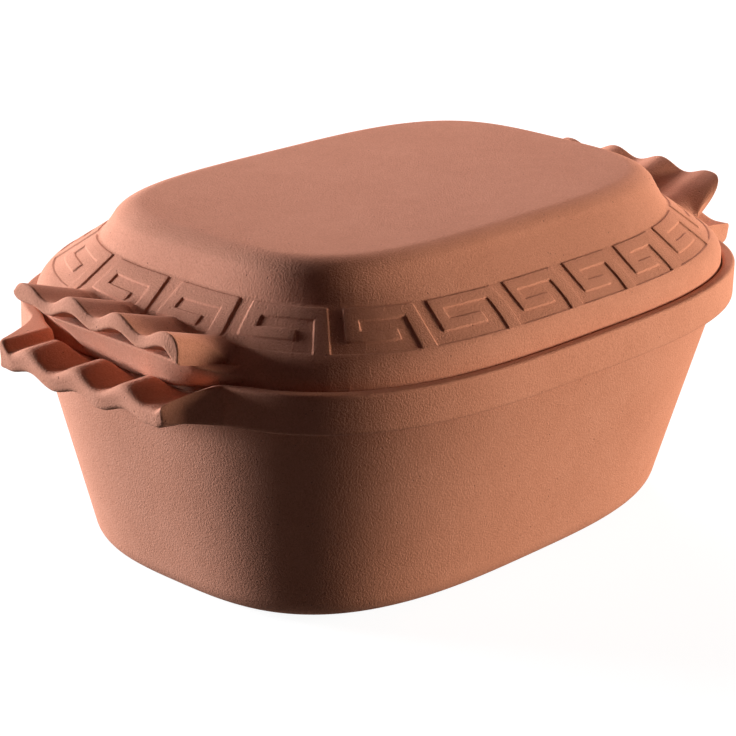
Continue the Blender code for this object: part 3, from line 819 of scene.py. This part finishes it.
def lid_rings(at):
    """From the ceiling's middle inside, round the skirt's foot, and up the outside to the top's middle."""
    centre, chain = lid_inside(at)
    foot_share = at.by_end(at.fade(*SHELF_FOOT_NEAR), at.fade(*SHELF_FOOT_FAR))
    foot_reach = np.minimum(SHELF_FOOT_REACH - SHELF_FOOT_SLANT * at.across, SHELF_FOOT_MOST)
    shelf_foot = at.pull(shoulder(at, 1.0), foot_reach, SHELF_FOOT, foot_share)
    chain += [
        (at.ring(SKIRT_INSET, SHELF_FOOT), UNDER_SHELF_CORNER, 1, 2),
        (shelf_foot, SHELF_FOOT_CORNER, 3, 2),
        (shelf_top(at), SHELF_TOP_CORNER, 4, 1),
        (shelf_top(at, SHELF_FLAT), 0.0, 0, 0),
    ]
    rings = centre + rounded(chain) + rounded(lid_handle(at)) + patterned_band(at)
    crease_insets = tuple(inset + CREASE_WIDTH for inset in BAND_TOP_INSETS)
    crease = at.ring(crease_insets, CREASE_HEIGHT, BAND_TOP_SQUARENESS)
    top_arc = arc(at, TOP_INSET, TOP, TOP_ROUND, TOP_SQUARENESS,
                  np.linspace(TOP_ROUND_ANGLE, 0.0, TOP_RINGS), -1)
    dome = rounded([(rings[-1], 0.0, 0, 1), (crease, CREASE_ROUND, 5, 3), (top_arc[0], 0.0, 0, 0)])
    return rings + dome[1:] + top_arc[1:] + flat(top_arc[-1], CAP_SHARES[::-1])


lid = skin("clay_lid", lid_rings(lid_lines))

# %% [markdown]
# ## The clay
# The roaster is unglazed red clay, fired once. Up close it has a fine sandy grain, soft clouds of lighter and
# darker clay, and a few dark pores where a grit burnt out. Nothing on it shines. One material does for both
# pieces, because both were pressed from the same clay. The nodes are written as Python: a small class wraps a
# socket, so that sums and products on it add Math nodes.


# %% Shader maths
class Wire:
    """A socket that a node puts out. Sums and products on it add Math nodes."""

    def __init__(self, sheet, socket):
        self.sheet, self.socket = sheet, socket

    def math(self, operation, *values):
        return self.sheet.node("ShaderNodeMath", {"operation": operation}, dict(enumerate(values)))

    def __add__(self, other):
        return self.math("ADD", self, other)

    def __sub__(self, other):
        return self.math("SUBTRACT", self, other)

    def __rsub__(self, other):
        return self.math("SUBTRACT", other, self)

    def __mul__(self, other):
        return self.math("MULTIPLY", self, other)

    __radd__, __rmul__ = __add__, __mul__


# %% Sheets of nodes
class Sheet:
    """The nodes of a material or of the world."""

    def __init__(self, owner):
        owner.use_nodes = True
        self.tree = owner.node_tree
        self.tree.nodes.clear()

    def node(self, kind, settings=None, values=None, output=0):
        """Add a node, set its settings, then fill or link its sockets."""
        node = self.tree.nodes.new(kind)
        for name, value in (settings or {}).items():
            setattr(node, name, value)
        for name, value in (values or {}).items():
            if isinstance(value, Wire):
                self.tree.links.new(value.socket, node.inputs[name])
            else:
                node.inputs[name].default_value = value
        return Wire(self, node.outputs[output] if node.outputs else None)

    def ramp(self, value, low, high):
        """0 below one value and 1 above another, with a soft rise between."""
        return self.node("ShaderNodeMapRange", {"interpolation_type": "SMOOTHSTEP"},
                         {"Value": value, "From Min": low, "From Max": high}, "Result")

    def blend(self, a, b, share):
        """One colour mixed into another."""
        return self.node("ShaderNodeMix", {"data_type": "RGBA"}, {0: share, 6: a, 7: b}, 2)

    def noise(self, place, size, detail=2.0, roughness=0.5):
        """Noise with lumps of about the given size in metres, from 0 to 1."""
        return self.node("ShaderNodeTexNoise", None,
                         {"Vector": place, "Scale": 1 / size, "Detail": detail, "Roughness": roughness})


# %% Clay
CLAY = (0.590, 0.252, 0.157, 1.0)
PALE_CLAY = (0.650, 0.292, 0.190, 1.0)
DARK_CLAY = (0.520, 0.212, 0.126, 1.0)
BURNT = (0.150, 0.055, 0.032, 1.0)
CLOUD, PATCH, GRAIN = 0.0500, 0.0090, 0.0009        # sizes in metres
GRIT_SPACING, GRIT_GROUP = 0.0042, 0.0130
PORE_EDGE, PORE_GROUP_EDGE, PORE_DARKNESS = (0.06, 0.13), (0.55, 0.62), 0.45
DARK_TONE, CLAY_TONE, PALE_TONE = 0.46, 0.625, 0.80
LEAST_ROUGH, ROUGH_RANGE, SPECULAR_LEVEL = 0.82, 0.12, 0.30
GRAIN_STRENGTH, GRAIN_HEIGHT = 0.70, 0.0006


def clay(name):
    """Fired clay: three tones by clouds, patches and grain, with a few burnt pores and a sandy bump."""
    material = bpy.data.materials.new(name)
    sheet = Sheet(material)
    place = sheet.node("ShaderNodeTexCoord", output="Object")
    clouds = sheet.noise(place, CLOUD, 3.0)
    patches = sheet.noise(place, PATCH, 3.0, 0.6)
    grain = sheet.noise(place, GRAIN, 2.0, 0.65)
    grit = sheet.node("ShaderNodeTexVoronoi", None, {"Vector": place, "Scale": 1 / GRIT_SPACING}, "Distance")
    group = sheet.noise(place, GRIT_GROUP, 0.0)
    pore = (1 - sheet.ramp(grit, *PORE_EDGE)) * sheet.ramp(group, *PORE_GROUP_EDGE)

    tone = clouds * 0.30 + patches * 0.20 + grain * 0.75
    color = sheet.blend(DARK_CLAY, CLAY, sheet.ramp(tone, DARK_TONE, CLAY_TONE))
    color = sheet.blend(color, PALE_CLAY, sheet.ramp(tone, CLAY_TONE, PALE_TONE))
    color = sheet.blend(color, BURNT, pore * PORE_DARKNESS)

    height = grain * 0.75 + patches * 0.18 - pore * 0.5
    normal = sheet.node("ShaderNodeBump", None,
                        {"Height": height, "Strength": GRAIN_STRENGTH, "Distance": GRAIN_HEIGHT})
    roughness = sheet.ramp(grain, 0.0, 1.0) * ROUGH_RANGE + LEAST_ROUGH
    shader = sheet.node("ShaderNodeBsdfPrincipled", None, {
        "Base Color": color, "Roughness": roughness, "Normal": normal, "Specular IOR Level": SPECULAR_LEVEL})
    sheet.node("ShaderNodeOutputMaterial", None, {"Surface": shader})
    return material


red_clay = clay("red clay")
print("nodes in the clay:", len(red_clay.node_tree.nodes))

# %% Put the skins in place
for piece, node in ((dish, "dish"), (lid, "lid")):
    piece.data.materials.append(red_clay)
    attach(piece, node)
    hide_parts(node)
    print(piece.name, "stands for", node)

# %% [markdown]
# ## Floor and background
# The roaster stands on a plain white floor that runs out of the picture. The camera sees the floor and the
# background white, while what they send back to the clay stays dim. A white floor that really lit the clay
# would wash out its shaded side. The floor still takes the roaster's soft shadow from the lamps. Its white
# glow is painted light, and it is weaker near the roaster, so the floor there is painted a little darker.

# %% White for the camera
SEEING_RAYS = ("Is Camera Ray", "Is Glossy Ray", "Is Transmission Ray")


def grey(value):
    return (value, value, value, 1.0)


def seen(sheet):
    """1 for what the camera sees, straight or by a reflection or through glass, and 0 for stray light."""
    straight, mirrored, through = (sheet.node("ShaderNodeLightPath", output=name) for name in SEEING_RAYS)
    return straight.math("MAXIMUM", straight, mirrored.math("MAXIMUM", mirrored, through))


# %% Floor
FLOOR_SIZE, FLOOR_DROP = 6.0, 0.0002
# Painted light: the floor glows though it is no lamp, and less near the roaster, which paints the floor there
# a little darker.
GLOW_NEAR, GLOW_MORE, GLOW_RUN = 0.93, 0.09, (0.45, 1.20)       # it grows with the distance from the roaster
SHADOW_GREY, DULL_GREY = grey(0.22), grey(0.08)
corners = [(-FLOOR_SIZE, -FLOOR_SIZE, 0), (FLOOR_SIZE, -FLOOR_SIZE, 0), (FLOOR_SIZE, FLOOR_SIZE, 0),
           (-FLOOR_SIZE, FLOOR_SIZE, 0)]
floor_mesh = bpy.data.meshes.new("floor")
floor_mesh.from_pydata(corners, [], [(0, 1, 2, 3)])
floor = bpy.data.objects.new("floor", floor_mesh)
floor.location.z = -FLOOR_DROP
bpy.context.scene.collection.objects.link(floor)

floor_material = bpy.data.materials.new("white floor")
sheet = Sheet(floor_material)
floor_seen = seen(sheet)
place = sheet.node("ShaderNodeTexCoord", output="Object")
away = sheet.node("ShaderNodeVectorMath", {"operation": "LENGTH"}, {0: place}, "Value")
far = sheet.ramp(away, *GLOW_RUN)
# Painted light: a glow, weaker near the roaster, so the floor around it is painted a little darker.
glow = sheet.node("ShaderNodeEmission", None, {"Color": grey(1.0), "Strength": far * GLOW_MORE + GLOW_NEAR})
shaded = sheet.node("ShaderNodeBsdfDiffuse", None, {"Color": SHADOW_GREY})
shown = sheet.node("ShaderNodeAddShader", None, {0: glow, 1: shaded})
dull = sheet.node("ShaderNodeBsdfDiffuse", None, {"Color": DULL_GREY})
both = sheet.node("ShaderNodeMixShader", None, {0: floor_seen, 1: dull, 2: shown})
sheet.node("ShaderNodeOutputMaterial", None, {"Surface": both})
floor_mesh.materials.append(floor_material)
print("nodes in the floor:", len(floor_material.node_tree.nodes))

# %% World
DIM_RED = (0.020, 0.003, 0.002, 1.0)
world = bpy.data.worlds.new("studio")
bpy.context.scene.world = world
sheet = Sheet(world)
world_seen = seen(sheet)
dim = sheet.node("ShaderNodeBackground", None, {"Color": DIM_RED, "Strength": 1.0})
white = sheet.node("ShaderNodeBackground", None, {"Color": grey(1.0), "Strength": 1.0})
both = sheet.node("ShaderNodeMixShader", None, {0: world_seen, 1: dim, 2: white})
sheet.node("ShaderNodeOutputWorld", None, {"Surface": both})
bpy.context.scene.view_settings.view_transform = "Standard"
print("view transform:", bpy.context.scene.view_settings.view_transform)

# %% [markdown]
# ## Light
# Two soft boxes stand low down, one a good quarter turn round to the left of the camera and one to the right.
# So the left end and the long near face are bright, and the corner between them, which faces the camera, is
# dark. The left box is stronger and cooler than the right one. A third, behind and higher up, lights the flat
# top. Sunlight or a lit sky would flatten the flutes and the pattern, which show by their shade alone.

# %% Soft boxes
LAMP_DISTANCE = 2.2
LAMP_AIM = Vector((0.0, 0.0, 0.09))


def soft_box(name, turn, height, size, level, color):
    """A lamp that looks at the roaster's middle. Level is how bright a white card facing it would be."""
    data = bpy.data.lights.new(name, "AREA")
    data.shape, data.size, data.size_y = "RECTANGLE", *size
    data.energy = level * (math.pi * LAMP_DISTANCE) ** 2
    data.color = color
    lamp = bpy.data.objects.new(name, data)
    way = direction(math.radians(turn), math.radians(height))
    lamp.location = LAMP_AIM + way * LAMP_DISTANCE
    lamp.rotation_euler = way.to_track_quat("Z", "Y").to_euler()
    bpy.context.scene.collection.objects.link(lamp)
    print(f"{name}: {data.energy:.0f} W")


soft_box("left soft box", -149, 8, (0.80, 0.60), 2.08, (0.89, 0.93, 1.0))
soft_box("right soft box", 49, 4, (0.80, 0.60), 1.62, (1.0, 0.86, 0.72))
soft_box("soft box behind", 137, 29, (0.90, 0.90), 0.84, (1.0, 0.75, 0.67))
